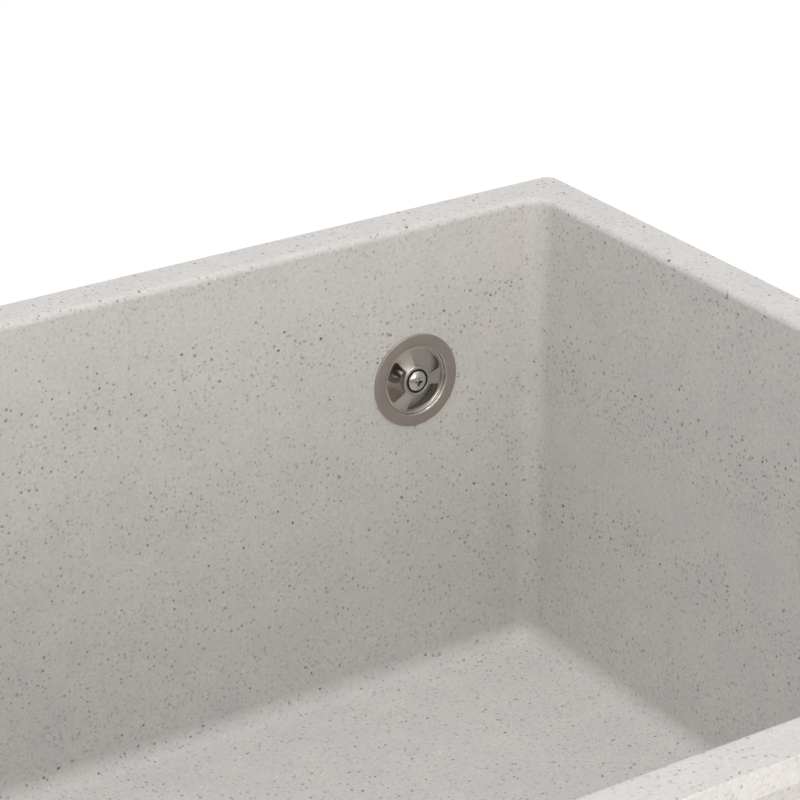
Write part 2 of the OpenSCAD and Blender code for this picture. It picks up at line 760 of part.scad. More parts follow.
// Plastic body under the drain, with its chamber, its overflow port and its threaded outlet
module waste_body() {
    rib_t = 3;
    rib_up = port_drop;
    outer_d = chamber_d + 2 * chamber_t;
    color("slategray") {
        difference() {
            union() {
                at_drain(waste_top_z - waste_flange_t) cylinder(d = waste_flange_d, h = waste_flange_t);
                at_drain(waste_low_z) cylinder(d = outer_d, h = waste_top_z - waste_low_z);
                at_drain(outlet_z) cylinder(d = outlet_d, h = outlet_len + cut);
                at_port() translate([0, 0, -port_end]) cylinder(d = spigot_d, h = port_end);
            }
            at_drain(chamber_z) cylinder(d = chamber_d, h = waste_top_z - chamber_z + cut);
            at_drain(outlet_z - cut) cylinder(d = outlet_bore, h = outlet_len + chamber_t + 2 * cut);
            at_port() translate([0, 0, -port_end]) cylinder(d = hose_bore, h = port_end + cut);
        }
        difference() {
            union() {
                at_drain(chamber_z) cylinder(d = clamp_boss_d, h = clamp_boss_z - chamber_z);
                for (k = [0 : 2]) at_drain(chamber_z - chamber_t / 2)
                    rotate([0, 0, port_angle + 60 + 120 * k])
                        translate([0, -rib_t / 2, 0]) cube([chamber_d / 2 + cut, rib_t, rib_up]);
            }
            at_drain(clamp_boss_z - clamp_insert_len)
                cylinder(d = clamp_insert_d, h = clamp_insert_len + cut);
        }
    }
}

module waste_insert() {
    color("goldenrod") at_drain(clamp_boss_z - clamp_insert_len)
        ring(clamp_insert_d, clamp_screw_d + 2 * fit_gap, clamp_insert_len);
}

// Screw from the grid into the waste body, which clamps the bowl between them
module clamp_screw() {
    length = cup_t + clamp_insert_len - cut;
    slot = 1.2;
    color("silver") at_drain(grid_z) difference() {
        union() {
            translate([0, 0, -length]) cylinder(d = clamp_screw_d, h = length);
            cylinder(d = clamp_head_d, h = clamp_head_h);
        }
        translate([-clamp_head_d / 2 - cut, -slot / 2, clamp_head_h / 2])
            cube([clamp_head_d + 2 * cut, slot, clamp_head_h]);
    }
}

// Perforated basket with a lip that rests on the cup's shoulder
module basket() {
    floor_r0 = basket_floor_d / 2;
    mouth_r = basket_mouth_d / 2;
    up = lip_z - basket_floor_z;
    color("silver") at_drain(basket_floor_z) {
        difference() {
            rotate_extrude() polygon([
                [0, 0], [floor_r0, 0], [mouth_r, up], [lip_r, up], [lip_r, up + basket_t],
                [mouth_r - basket_t, up + basket_t], [floor_r0 - basket_t, basket_t], [0, basket_t]
            ]);
            for (k = [1 : wall_slots]) rotate([0, 0, 360 * k / wall_slots])
                translate([floor_r0 - 2 * basket_t, -slot_w / 2, up * slot_start])
                    cube([mouth_r - floor_r0 + 4 * basket_t, slot_w, up * slot_share]);
            for (k = [1 : floor_holes], r = hole_rings) rotate([0, 0, 360 * k / floor_holes])
                translate([floor_r0 * r, 0, -cut]) cylinder(d = floor_hole_d, h = basket_t + 2 * cut);
            translate([0, 0, -cut]) cylinder(d = post_d + 2 * fit_gap, h = basket_t + 2 * cut);
        }
        ring(sleeve_d, post_d + 2 * fit_gap, sleeve_z - basket_floor_z);
    }
}

module stopper_post() {
    color("silver") at_drain(post_low_z) cylinder(d = post_d, h = post_top_z - post_low_z);
}

// Domed knob on the post
module stopper_knob() {
    edge = knob_h / 4;
    z0 = sleeve_z + seat_gap;
    color("gray") at_drain(z0) difference() {
        rotate_extrude() {
            square([knob_d / 2 - edge, knob_h]);
            translate([0, edge]) square([knob_d / 2, knob_h - 2 * edge]);
            for (z = [edge, knob_h - edge]) translate([knob_d / 2 - edge, z]) circle(edge);
        }
        translate([0, 0, -cut]) cylinder(d = post_d + 2 * fit_gap, h = post_top_z - z0 + cut);
    }
}

module stopper_plate() {
    color("lightgray") at_drain(plate_z) ring(plate_d, post_d + 2 * fit_gap, plate_t);
}

module stopper_seal() {
    color("dimgray") at_drain(stopper_z) ring(stopper_d, post_d + 2 * fit_gap, stopper_t);
}

module stopper_nut() {
    color("silver") at_drain(stopper_z - stopper_nut_h) difference() {
        cylinder(d = post_d * hex_w, h = stopper_nut_h, $fn = 6);
        translate([0, 0, -cut]) cylinder(d = post_d + 2 * fit_gap, h = stopper_nut_h + 2 * cut);
    }
}

bowl();
lug_inserts();
hanger_brackets();
bracket_washers();
bracket_screws();
overflow_cover();
overflow_screw();
overflow_gasket();
overflow_body();
overflow_insert();
upper_hose_seal();
upper_hose_nut();
upper_hose_cuff();
overflow_hose();
lower_hose_cuff();
lower_hose_nut();
lower_hose_seal();
strainer_cup();
strainer_seal();
waste_gasket();
waste_body();
waste_insert();
clamp_screw();
basket();
stopper_post();
stopper_knob();
stopper_plate();
stopper_seal();
stopper_nut();
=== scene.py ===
"""Looks of an undermount quartz-composite sink with its overflow, basket waste and hanger brackets.

Shapes are made in millimetres, in the part's own frame, and turned into metres as they become pieces.
"""

import math

import bmesh
import bpy
from mathutils import Matrix, Vector


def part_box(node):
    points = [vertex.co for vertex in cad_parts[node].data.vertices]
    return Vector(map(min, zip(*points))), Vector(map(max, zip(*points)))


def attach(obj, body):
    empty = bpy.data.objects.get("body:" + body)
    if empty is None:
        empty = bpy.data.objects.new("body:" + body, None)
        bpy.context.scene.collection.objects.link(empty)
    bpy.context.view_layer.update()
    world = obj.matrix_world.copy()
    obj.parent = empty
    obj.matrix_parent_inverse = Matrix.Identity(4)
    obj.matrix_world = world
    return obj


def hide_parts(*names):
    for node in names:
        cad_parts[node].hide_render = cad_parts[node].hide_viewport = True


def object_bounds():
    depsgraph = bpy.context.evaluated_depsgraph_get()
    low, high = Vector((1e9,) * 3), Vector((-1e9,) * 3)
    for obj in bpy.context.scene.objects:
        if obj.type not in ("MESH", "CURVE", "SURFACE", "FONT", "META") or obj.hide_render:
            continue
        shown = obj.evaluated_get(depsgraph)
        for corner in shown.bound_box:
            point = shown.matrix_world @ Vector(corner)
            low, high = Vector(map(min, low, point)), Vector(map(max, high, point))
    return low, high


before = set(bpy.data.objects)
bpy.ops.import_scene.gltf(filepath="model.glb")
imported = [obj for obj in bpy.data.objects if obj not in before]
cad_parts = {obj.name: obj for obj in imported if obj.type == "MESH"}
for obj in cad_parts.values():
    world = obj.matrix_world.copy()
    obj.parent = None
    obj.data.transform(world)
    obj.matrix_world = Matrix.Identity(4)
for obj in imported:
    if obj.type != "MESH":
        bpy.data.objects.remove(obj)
cad_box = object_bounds()
scene = bpy.context.scene
METRES = Matrix.Scale(0.001, 4)

# Rim and bowl
RIM_WIDTH = 540
RIM_DEPTH = 440
RIM_FLAT = 19
RIM_T = 10
RIM_CORNER = 5
RIM_ROUND = 3
RIM_EDGE = 0.7
BOWL_DEPTH = 210
BOWL_CORNER = 9.5
WALL_T = 8.5
FLOOR_T = 10
SHELL_CORNER = 16
UNDER_ROUND = 9
DRAFT = math.radians(2.5)
LEAN = math.tan(DRAFT)
SHELL = WALL_T / math.cos(DRAFT)
HALF_W = RIM_WIDTH / 2 - RIM_FLAT
HALF_D = RIM_DEPTH / 2 - RIM_FLAT

# Drain
DRAIN_Y = 86
DRAIN_HOLE = 45
FALL_R = 92
FLOOR_FALL = 4
PAD_R = 65
PAD_Z = -227.7
SEAT_Z = -216.7
RECESS_R = 58
CUP_TOP = -214
BOSS_Z = -255.2
PORT_Z = -266.2
CHAMBER_Z = -276.7
WASTE_TOP = -230.7
WASTE_LOW = -279.7
OUTLET_Z = -303.7
PORT_END = 72

# Overflow: the cover's heights are taken from the wall's face
OVERFLOW = Vector((183.3, HALF_D - 69.8 * LEAN, -69.8))
OVERFLOW_HOLE = 17
COVER_R = 21
DISH_R = 15.5
SKIRT_R = 16.5
HUB_R = 6.65
HUB_FRONT = 1.9
HUB_BACK = HUB_FRONT - 3.6
HEAD_R = 4.5
SHANK_R = 2.5
HEAD_Z = HUB_FRONT - 0.8
NECK_Z = HEAD_Z - 2.1
COVER_TURN = math.radians(-5)
CROSS_TURN = math.radians(-8)
CUP_FRONT = 13.5
CUP_BACK = 41.2
SPIGOT_Y = OVERFLOW.y + (CUP_FRONT + 12.75) * math.cos(DRAFT)
SPIGOT_Z = OVERFLOW.z - 43
ON_WALL = Matrix.Translation(OVERFLOW) @ Matrix.Rotation(math.pi / 2 - DRAFT, 4, "X")

# Spigots of the overflow's cup and of the waste body's port
SPIGOT_R = 13
LEAD_IN_R = SPIGOT_R - 1.2
BORE_R = 8
THREAD_L = 18
THREAD_PITCH = 2.25
THREAD_DEPTH = 0.9

# Brackets: middle of each lug's outer edge, and the turn that points its +Y out of the sink
BRACKET_X = 130
BRACKET_Y = 100
LUG_H = 18
LUG_HALF_W = 15
BRACKETS = [
    Matrix.Translation((x * BRACKET_X, y * RIM_DEPTH / 2, 0)) @ Matrix.Rotation(math.pi * (1 - y) / 2, 4, "Z")
    for x in (-1, 1) for y in (-1, 1)
] + [
    Matrix.Translation((x * RIM_WIDTH / 2, y * BRACKET_Y, 0)) @ Matrix.Rotation(-x * math.pi / 2, 4, "Z")
    for x in (-1, 1) for y in (-1, 1)
]

# Hose route: down from the spigot, round a quarter circle, and in to the waste body's port
PORT_ANGLE = math.atan2(SPIGOT_Y - DRAIN_Y, OVERFLOW.x)
HOSE_SPAN = math.hypot(SPIGOT_Y - DRAIN_Y, OVERFLOW.x)
FITTING = 14
HOSE_R = 10
RIB_H = 1.2
RIBS = 60
BEND_R = 98
HOSE_TOP = SPIGOT_Z - FITTING - PORT_Z
HOSE_IN = HOSE_SPAN - PORT_END - FITTING


def camera():
    """Camera of the photograph: a long lens from the front left, looking into the back right corner."""
    lens = bpy.data.cameras.new("camera")
    lens.sensor_width = 36
    lens.lens = 135.81
    lens.clip_end = 20
    stand = bpy.data.objects.new("camera", lens)
    stand.location = (-0.4802, -0.79465, 0.46463)
    yaw = math.radians(33.45)
    pitch = math.radians(24.5)
    ahead = Vector((math.sin(yaw) * math.cos(pitch), math.cos(yaw) * math.cos(pitch), -math.sin(pitch)))
    stand.rotation_euler = ahead.to_track_quat("-Z", "Y").to_euler()
    scene.collection.objects.link(stand)
    scene.camera = stand


def arc(start, end, steps):
    """Angles in radians, from start to end in degrees."""
    return [math.radians(start + (end - start) * k / steps) for k in range(steps + 1)]


def outline(points, steps=5):
    """Section through the points, rounded at each point that gives a radius as its third number."""
    line = []
    for i, point in enumerate(points):
        here = Vector(point[:2])
        if len(point) < 3:
            line.append(here)
            continue
        back = (Vector(points[i - 1][:2]) - here).normalized()
        on = (Vector(points[(i + 1) % len(points)][:2]) - here).normalized()
        half = back.angle(on) / 2
        centre = here + (back + on).normalized() * point[2] / math.sin(half)
        start = here + back * point[2] / math.tan(half) - centre
        end = here + on * point[2] / math.tan(half) - centre
        turn = math.atan2(start.cross(end), start.dot(end))
        line += [centre + Matrix.Rotation(turn * k / steps, 2) @ start for k in range(steps + 1)]
    return line


def threaded(radius, start, end, pitch, depth):
    """Section of a thread, from its start to its end."""
    count = max(2, round(abs(end - start) / pitch))
    step = (end - start) / count
    line = []
    for k in range(count):
        z = start + step * k
        line += [(radius - depth, z + 0.1 * step), (radius, z + 0.35 * step), (radius, z + 0.6 * step),
                 (radius - depth, z + 0.85 * step)]
    return line


def lathe(line, steps=96, closed=True):
    """Shape spun from a section of (radius, height) points. An open section starts and ends on the axis."""
    bm = bmesh.new()
    verts = [bm.verts.new((p[0], 0, p[1])) for p in line]
    ends = verts[1:] + verts[:1] if closed else verts[1:]
    edges = [bm.edges.new(pair) for pair in zip(verts, ends)]
    bmesh.ops.spin(bm, geom=verts + edges, cent=(0, 0, 0), axis=(0, 0, 1), angle=math.tau, steps=steps,
                   use_merge=True)
    bmesh.ops.remove_doubles(bm, verts=bm.verts, dist=1e-4)
    bmesh.ops.recalc_face_normals(bm, faces=bm.faces)
    return bm


def rod(radius, low, high, steps=64):
    return lathe([(0, low), (radius, low), (radius, high), (0, high)], steps, closed=False)


def block(low, high):
    """Box between two corners."""
    bm = bmesh.new()
    size = Vector(high) - Vector(low)
    bmesh.ops.create_cube(bm, size=1, matrix=Matrix.Translation((Vector(low) + Vector(high)) / 2)
                          @ Matrix.Diagonal((*size, 1)))
    return bm


def gusset(low, high, foot):
    """Box under a flange, with its outer lower edge drawn in to the foot."""
    bm = block(low, high)
    for v in bm.verts:
        if v.co.x > foot and v.co.z < (low[2] + high[2]) / 2:
            v.co.x = foot
    return bm


def lofted(sections, steps=12):
    """Solid through rounded rectangles: each a half width, a half depth, a corner radius and a height."""
    bm = bmesh.new()
    rings = []
    for half_w, half_d, radius, z in sections:
        ring = []
        for quarter in range(4):
            x = (half_w - radius) * (1 if quarter in (0, 3) else -1)
            y = (half_d - radius) * (1 if quarter < 2 else -1)
            for k in range(steps + 1):
                a = (quarter + k / steps) * math.pi / 2
                ring.append(bm.verts.new((x + radius * math.cos(a), y + radius * math.sin(a), z)))
        rings.append(ring)
    for low, high in zip(rings, rings[1:]):
        for i in range(len(low)):
            bm.faces.new((low[i - 1], low[i], high[i], high[i - 1]))
    bm.faces.new(rings[0])
    bm.faces.new(rings[-1])
    bmesh.ops.remove_doubles(bm, verts=bm.verts, dist=1e-4)
    bmesh.ops.recalc_face_normals(bm, faces=bm.faces)
    return bm


def rounded(bm, geom, width, affect="EDGES"):
    bmesh.ops.bevel(bm, geom=geom, offset=width, segments=4, profile=0.5, affect=affect, material=-1)


def moved(bm, place):
    bm.transform(place)
    return bm


def turned(bm, angle):
    return moved(bm, Matrix.Rotation(angle, 4, "Z"))


def at_drain(bm, z=0):
    return moved(bm, Matrix.Translation((0, DRAIN_Y, z)))


def holes(count, ring, radius, low, high, offset=0.0, steps=32):
    """Rods round a circle."""
    return [turned(moved(rod(radius, low, high, steps), Matrix.Translation((ring, 0, 0))),
                   math.tau * (k + offset) / count) for k in range(count)]


def only(kind, geom):
    return [element for element in geom if isinstance(element, kind)]


def as_mesh(bm, name="shape"):
    mesh = bpy.data.meshes.new(name)
    bm.to_mesh(mesh)
    bm.free()
    return mesh


def gathered(shapes):
    """Several separate shapes as one."""
    whole = bmesh.new()
    for bm in shapes:
        mesh = as_mesh(bm)
        whole.from_mesh(mesh)
        bpy.data.meshes.remove(mesh)
    return whole


def combined(base, tool, how):
    """The base with the tool joined on or cut out."""
    pair = [bpy.data.objects.new("shape", as_mesh(bm)) for bm in (base, tool)]
    for part in pair:
        scene.collection.objects.link(part)
    step = pair[0].modifiers.new("combine", "BOOLEAN")
    step.operation = how
    step.solver = "EXACT"
    step.object = pair[1]
    result = bmesh.new()
    result.from_object(pair[0], bpy.context.evaluated_depsgraph_get())
    for part in pair:
        mesh = part.data
        bpy.data.objects.remove(part)
        bpy.data.meshes.remove(mesh)
    return result


def joined(base, tool):
    return combined(base, tool, "UNION")


def cut(base, tool):
    return combined(base, tool, "DIFFERENCE")


def piece(name, bm, slot, node, body="root", others=(), sharp=35, edge=0, flats=False):
    """Makes a shape in millimetres a piece that stands for a node. Others are finishes beside its slot's."""
    bm.transform(METRES)
    mesh = as_mesh(bm, name)
    mesh.shade_smooth()
    mesh.set_sharp_from_angle(angle=math.radians(sharp))
    made = bpy.data.objects.new(name, mesh)
    scene.collection.objects.link(made)
    for finish in (slot, *others):
        mesh.materials.append(finishes[finish])
    if edge:
        bevel = made.modifiers.new("edges", "BEVEL")
        bevel.width = edge / 1000
        bevel.segments = 2
        bevel.limit_method = "ANGLE"
        bevel.angle_limit = math.radians(40)
        bevel.harden_normals = True
    if flats:
        made.modifiers.new("flats", "WEIGHTED_NORMAL").keep_sharp = True
    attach(made, body)
    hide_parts(node)
    return made


def softened(node, slot, edge, body="root"):
    """The node's own shape with its edges eased."""
    bm = bmesh.new()
    bm.from_mesh(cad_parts[node].data)
    bm.transform(METRES.inverted())
    bmesh.ops.remove_doubles(bm, verts=bm.verts, dist=1e-3)
    bmesh.ops.dissolve_limit(bm, angle_limit=math.radians(1), verts=bm.verts, edges=bm.edges)
    piece(node + "_shape", bm, slot, node, body, edge=edge)


class Finish:
    """A material under construction, with short ways to add its nodes."""

    def __init__(self, name, colour, roughness, **sockets):
        self.material = bpy.data.materials.new(name)
        self.material.use_nodes = True
        self.material.diffuse_color = (*colour, 1)
        self.nodes = self.material.node_tree.nodes
        self.links = self.material.node_tree.links
        self.surface = self.nodes["Principled BSDF"]
        self.surface.inputs["Base Color"].default_value = (*colour, 1)
        self.surface.inputs["Roughness"].default_value = roughness
        for socket, value in sockets.items():
            self.surface.inputs[socket.replace("_", " ").title()].default_value = value
        self.place = self.nodes.new("ShaderNodeTexCoord").outputs["Object"]

    def feed(self, socket, value):
        if isinstance(value, bpy.types.NodeSocket):
            self.links.new(value, socket)
        else:
            socket.default_value = value

    def add(self, kind, inputs, **settings):
        node = self.nodes.new("ShaderNode" + kind)
        for key, value in settings.items():
            setattr(node, key, value)
        for key, value in inputs.items():
            self.feed(node.inputs[key], value)
        return node

    def noise(self, size, detail=3.0):
        """Noise whose lumps are about size millimetres across."""
        lumps = self.add("TexNoise", {"Vector": self.place, "Scale": 1000 / size, "Detail": detail})
        return lumps.outputs["Fac"]

    def spread(self, value, low, high, start=0.3, end=0.7):
        """The value between start and end, taken to low and high."""
        return self.add("MapRange", {"Value": value, "From Min": start, "From Max": end,
                                     "To Min": low, "To Max": high}).outputs[0]

    def maths(self, how, first, second):
        return self.add("Math", {0: first, 1: second}, operation=how).outputs[0]

    def blend(self, amount, first, second):
        """Colour from first to second. The Mix node's colour sockets are its inputs 6 and 7 and output 2."""
        mix = self.add("Mix", {0: amount}, data_type="RGBA")
        for key, colour in ((6, first), (7, second)):
            self.feed(mix.inputs[key], colour if isinstance(colour, bpy.types.NodeSocket) else (*colour, 1))
        return mix.outputs[2]

    def set(self, socket, value):
        self.links.new(value, self.surface.inputs[socket])

    def bump(self, height, depth):
        """Relief of depth millimetres."""
        node = self.add("Bump", {"Height": height, "Distance": depth / 1000, "Strength": 1.0})
        self.set("Normal", node.outputs[0])


def specks(finish, colour, place, cell, share, size, speck, strength):
    """Adds irregular specks: one in a share of the cells, up to size of a cell in radius."""
    smallest = 0.35 * size
    soft_edge = 0.4 * size
    faintest = 0.2 * strength
    cells = finish.add("TexVoronoi", {"Vector": place, "Scale": 1000 / cell})
    pick = finish.add("SeparateColor", {0: cells.outputs["Color"]})
    radius = finish.spread(pick.outputs[0], smallest, size, 1 - share, 1)
    inside = finish.maths("SUBTRACT", radius, cells.outputs["Distance"])
    chosen = finish.maths("GREATER_THAN", pick.outputs[0], 1 - share)
    mask = finish.maths("MULTIPLY", finish.spread(inside, 0, 1, -0.02, soft_edge), chosen)
    fade = finish.spread(pick.outputs[1], faintest, strength, 0, 1)
    return finish.blend(finish.maths("MULTIPLY", mask, fade), colour, speck)


def composite(name, tone, roughness, grain):
    """Moulded quartz composite: off-white, with small grey, dark, brown and pale specks."""
    finish = Finish(name, tone, roughness)
    wander = finish.add("TexNoise", {"Vector": finish.place, "Scale": 1100, "Detail": 2.0}).outputs["Color"]
    shift = finish.add("VectorMath", {0: wander, 1: (0.5, 0.5, 0.5)}, operation="SUBTRACT").outputs[0]
    small = finish.add("VectorMath", {0: shift, "Scale": 0.0012}, operation="SCALE").outputs[0]
    place = finish.add("VectorMath", {0: finish.place, 1: small}, operation="ADD").outputs[0]
    pale = [1.03 * c for c in tone]
    deep = (tone[0] * 0.965, tone[1] * 0.967, tone[2] * 0.985)
    colour = finish.blend(finish.spread(finish.noise(17), 0, 1), pale, deep)
    haze = finish.spread(finish.noise(1.6), 0, 0.2, 0.35, 0.7)
    colour = finish.blend(haze, colour, [0.5 * c for c in tone])
    for cell, share, size, speck, strength in (
        (2.1, 0.95, 0.43, (0.30, 0.295, 0.29), 0.45),
        (2.8, 0.80, 0.32, (0.97, 0.96, 0.94), 0.3),
        (2.7, 0.85, 0.32, (0.20, 0.195, 0.19), 0.72),
        (3.5, 0.65, 0.22, (0.06, 0.055, 0.05), 0.92),
        (5.0, 0.40, 0.15, (0.25, 0.18, 0.115), 0.7),
    ):
        colour = specks(finish, colour, place, cell, share, size, speck, strength)
    finish.set("Base Color", colour)
    finish.set("Roughness", finish.spread(finish.noise(0.9), roughness - 0.06, roughness + 0.08))
    finish.bump(finish.noise(0.7, 4.0), grain)
    return finish.material


def metal(name, colour, roughness, depth=0.004):
    """Metal with faint smears and fine scratches."""
    finish = Finish(name, colour, roughness, metallic=1.0)
    grain = finish.noise(0.5)
    smear = finish.spread(finish.noise(14), 0, 0.12)
    finish.set("Base Color", finish.blend(smear, colour, tuple(0.82 * c for c in colour)))
    both = finish.maths("MULTIPLY", grain, finish.noise(9, 4.0))
    finish.set("Roughness", finish.spread(both, roughness * 0.8, roughness * 1.3 + 0.02, 0.12, 0.4))
    finish.bump(grain, depth)
    return finish.material


def plastic(name, colour, roughness, grain_size=0.6, depth=0.02, **sockets):
    """Moulded plastic or rubber, with a fine grain and faint flow marks."""
    finish = Finish(name, colour, roughness, **sockets)
    flow = finish.spread(finish.noise(22), 0, 0.5)
    finish.set("Base Color", finish.blend(flow, colour, tuple(min(1, 1.25 * c + 0.01) for c in colour)))
    grain = finish.noise(grain_size)
    finish.set("Roughness", finish.spread(grain, roughness - 0.08, roughness + 0.1))
    finish.bump(grain, depth)
    return finish.material


def hose_centres():
    """Points along the middle of the hose, from the spigot to the waste body's port."""
    straight = 4
    route = [(0.0, HOSE_TOP + (BEND_R - HOSE_TOP) * k / straight) for k in range(straight)]
    route += [(BEND_R * (1 - math.cos(a)), BEND_R * (1 - math.sin(a))) for a in arc(0, 90, 18)]
    route += [(BEND_R + (HOSE_IN - BEND_R) * k / straight, 0.0) for k in range(1, straight + 1)]
    centres = []
    for inward, up in route:
        reach = HOSE_SPAN - inward
        centres.append(Vector((reach * math.cos(PORT_ANGLE), DRAIN_Y + reach * math.sin(PORT_ANGLE),
                               PORT_Z + up)))
    return centres


def hose():
    """Ribbed hose, made of rings carried along its route, with a blind bore in each end."""
    centres = hose_centres()
    side = Vector((-math.sin(PORT_ANGLE), math.cos(PORT_ANGLE), 0))
    runs = [0.0]
    for a, b in zip(centres, centres[1:]):
        runs.append(runs[-1] + (b - a).length)
    length = runs[-1]

    def at(distance):
        k = max(i for i in range(len(runs) - 1) if runs[i] <= distance + 1e-9)
        return centres[k].lerp(centres[k + 1], (distance - runs[k]) / (runs[k + 1] - runs[k]))

    def along(distance, reach):
        return (at(min(length, distance + reach)) - at(max(0, distance - reach))).normalized()

    bm = bmesh.new()
    rings_per_rib = 6
    rings = []
    for k in range(RIBS * rings_per_rib + 1):
        distance = length * k / (RIBS * rings_per_rib)
        swell = 0.5 - 0.5 * math.cos(math.tau * k / rings_per_rib)
        radius = HOSE_R - RIB_H * (1 - swell ** 0.6)
        ahead = along(distance, length / RIBS)
        turn = Matrix((side, side.cross(ahead), ahead)).transposed().to_4x4()
        ring = bmesh.ops.create_circle(bm, segments=32, radius=radius,
                                       matrix=Matrix.Translation(at(distance)) @ turn)["verts"]
        rings.append(list(dict.fromkeys(edge for v in ring for edge in v.link_edges)))
        if k:
            bmesh.ops.bridge_loops(bm, edges=rings[-2] + rings[-1])
    bore_depth = 6
    for ring, distance, inward in ((rings[0], 0, 1), (rings[-1], length, -1)):
        lip = bmesh.ops.extrude_edge_only(bm, edges=ring)["geom"]
        bmesh.ops.scale(bm, verts=only(bmesh.types.BMVert, lip), vec=[BORE_R / HOSE_R * 1.02] * 3,
                        space=Matrix.Translation(-at(distance)))
        wall = bmesh.ops.extrude_edge_only(bm, edges=only(bmesh.types.BMEdge, lip))["geom"]
        bmesh.ops.translate(bm, verts=only(bmesh.types.BMVert, wall),
                            vec=along(distance, 4) * bore_depth * inward)
        bmesh.ops.contextual_create(bm, geom=only(bmesh.types.BMEdge, wall))
    bmesh.ops.recalc_face_normals(bm, faces=bm.faces)
    made = piece("ribbed_hose", bm, "hose_plastic", "overflow_hose", sharp=60)


def leaning_box(half_w, half_d, corner, foot, low, high):
    """Sections of a box with the walls' lean, a round foot, and half sizes taken at the rim's top."""
    middle = low + foot
    inset = middle * LEAN - foot / math.cos(DRAFT)
    sections = []
    for a in arc(-90, -math.degrees(DRAFT), 10):
        out = inset + foot * math.cos(a)
        sections.append((half_w + out, half_d + out, corner - foot * (1 - math.cos(a)),
                         middle + foot * math.sin(a)))
    return sections + [(half_w + high * LEAN, half_d + high * LEAN, corner, high)]


def rim_plate():
    """Rim with its edges eased above and below."""
    sections = []
    for middle, start in ((RIM_EDGE - RIM_T, -90), (-RIM_EDGE, 0)):
        for a in arc(start, start + 90, 4):
            out = RIM_EDGE * math.cos(a) - RIM_EDGE
            sections.append((RIM_WIDTH / 2 + out, RIM_DEPTH / 2 + out, RIM_CORNER + out,
                             RIM_EDGE * math.sin(a) + middle))
    return lofted(sections)


def cavity():
    """Room inside the bowl, with the round of its mouth."""
    mouth_z = RIM_ROUND * (math.sin(DRAFT) - 1)
    sections = leaning_box(HALF_W, HALF_D, BOWL_CORNER, BOWL_CORNER, -BOWL_DEPTH, mouth_z)
    for a in arc(math.degrees(DRAFT), 90, 8)[1:]:
        out = RIM_ROUND * (math.cos(DRAFT) - math.cos(a))
        wide = mouth_z * LEAN + out
        sections.append((HALF_W + wide, HALF_D + wide, BOWL_CORNER + out, RIM_ROUND * (math.sin(a) - 1)))
    half_w, half_d, radius, _ = sections[-1]
    return lofted(sections + [(half_w, half_d, radius, 3)])


def lugs():
    """Lugs under the rim, one for each bracket."""
    shapes = []
    for place in BRACKETS:
        lug = block((-LUG_HALF_W, SHELL - RIM_FLAT - WALL_T / 2, -LUG_H), (LUG_HALF_W, -1, -RIM_T / 2))
        rounded(lug, [e for e in lug.edges if abs(e.verts[0].co.z - e.verts[1].co.z) > 1
                      and e.verts[0].co.y > -5], 2.5)
        shapes.append(moved(lug, place))
    return shapes


def drain_room():
    """Room of the drain: its hole, the recess for the cup's flange and the floor's fall towards it."""
    start = RECESS_R - 2
    section = [(0, PAD_Z - 5), (DRAIN_HOLE, PAD_Z - 5), (DRAIN_HOLE, SEAT_Z), (RECESS_R, SEAT_Z),
               (RECESS_R, -BOWL_DEPTH - FLOOR_FALL - 0.5)]
    for t in (k / 10 for k in range(1, 11)):
        rise = t * t * (3 - 2 * t)
        section.append((start + (FALL_R - start) * t, -BOWL_DEPTH - FLOOR_FALL * (1 - rise) + 0.02 * t))
    section += [(FALL_R + 4, -BOWL_DEPTH + 3), (0, -BOWL_DEPTH + 3)]
    return at_drain(lathe(section, 128, closed=False))


def bowl():
    """The moulded bowl, with its lugs, its drain seat and its overflow hole."""
    outside = leaning_box(HALF_W + SHELL, HALF_D + SHELL, SHELL_CORNER, UNDER_ROUND,
                          -BOWL_DEPTH - FLOOR_T, -RIM_T / 2)
    pad = lathe([(0, PAD_Z), (PAD_R - 1, PAD_Z), (PAD_R, PAD_Z + 1), (PAD_R + 0.6, -BOWL_DEPTH - 5),
                 (0, -BOWL_DEPTH - 5)], 128, closed=False)
    bm = joined(joined(lofted(outside, 16), rim_plate()), gathered(lugs() + [at_drain(pad)]))
    hole = moved(rod(OVERFLOW_HOLE, -WALL_T - 4, 4, 96), ON_WALL)
    inserts = [moved(rod(3.5, -LUG_H - 1, -LUG_H + 10, 32), place @ Matrix.Translation((0, -6.2, 0)))
               for place in BRACKETS]
    bm = cut(cut(bm, cavity()), gathered([drain_room(), hole] + inserts))
    for face in bm.faces:
        p = face.calc_center_median()
        out = max(abs(p.x) - HALF_W - p.z * LEAN, abs(p.y) - HALF_D - p.z * LEAN)
        under = p.z < -RIM_T + 0.5 and out > WALL_T * 0.4 or p.z < -BOWL_DEPTH - FLOOR_FALL - 4
        face.material_index = 1 if under else 0
    piece("bowl_moulding", bm, "composite", "bowl", others=["raw_composite"], sharp=28, flats=True)


def cover_window():
    """Room of one window in the cover, between two spokes, with round corners."""
    bm = bmesh.new()
    inner, inner_half_spoke = 6.9, 2.4
    outer, outer_half_spoke = 14.0, 3.9
    start, stop = math.asin(inner_half_spoke / inner), math.tau / 3 - math.asin(inner_half_spoke / inner)
    low, high = math.asin(outer_half_spoke / outer), math.tau / 3 - math.asin(outer_half_spoke / outer)
    points = [(inner, start + (stop - start) * i / 6) for i in range(7)]
    points += [(outer, high + (low - high) * i / 12) for i in range(13)]
    verts = [bm.verts.new((r * math.cos(a), r * math.sin(a), -6)) for r, a in points]
    bm.faces.new(verts)
    rounded(bm, [verts[0], verts[6], verts[7], verts[-1]], 1.1, "VERTICES")
    side = bmesh.ops.extrude_face_region(bm, geom=bm.faces[:])["geom"]
    bmesh.ops.translate(bm, verts=only(bmesh.types.BMVert, side), vec=(0, 0, 9))
    bmesh.ops.recalc_face_normals(bm, faces=bm.faces)
    return bm


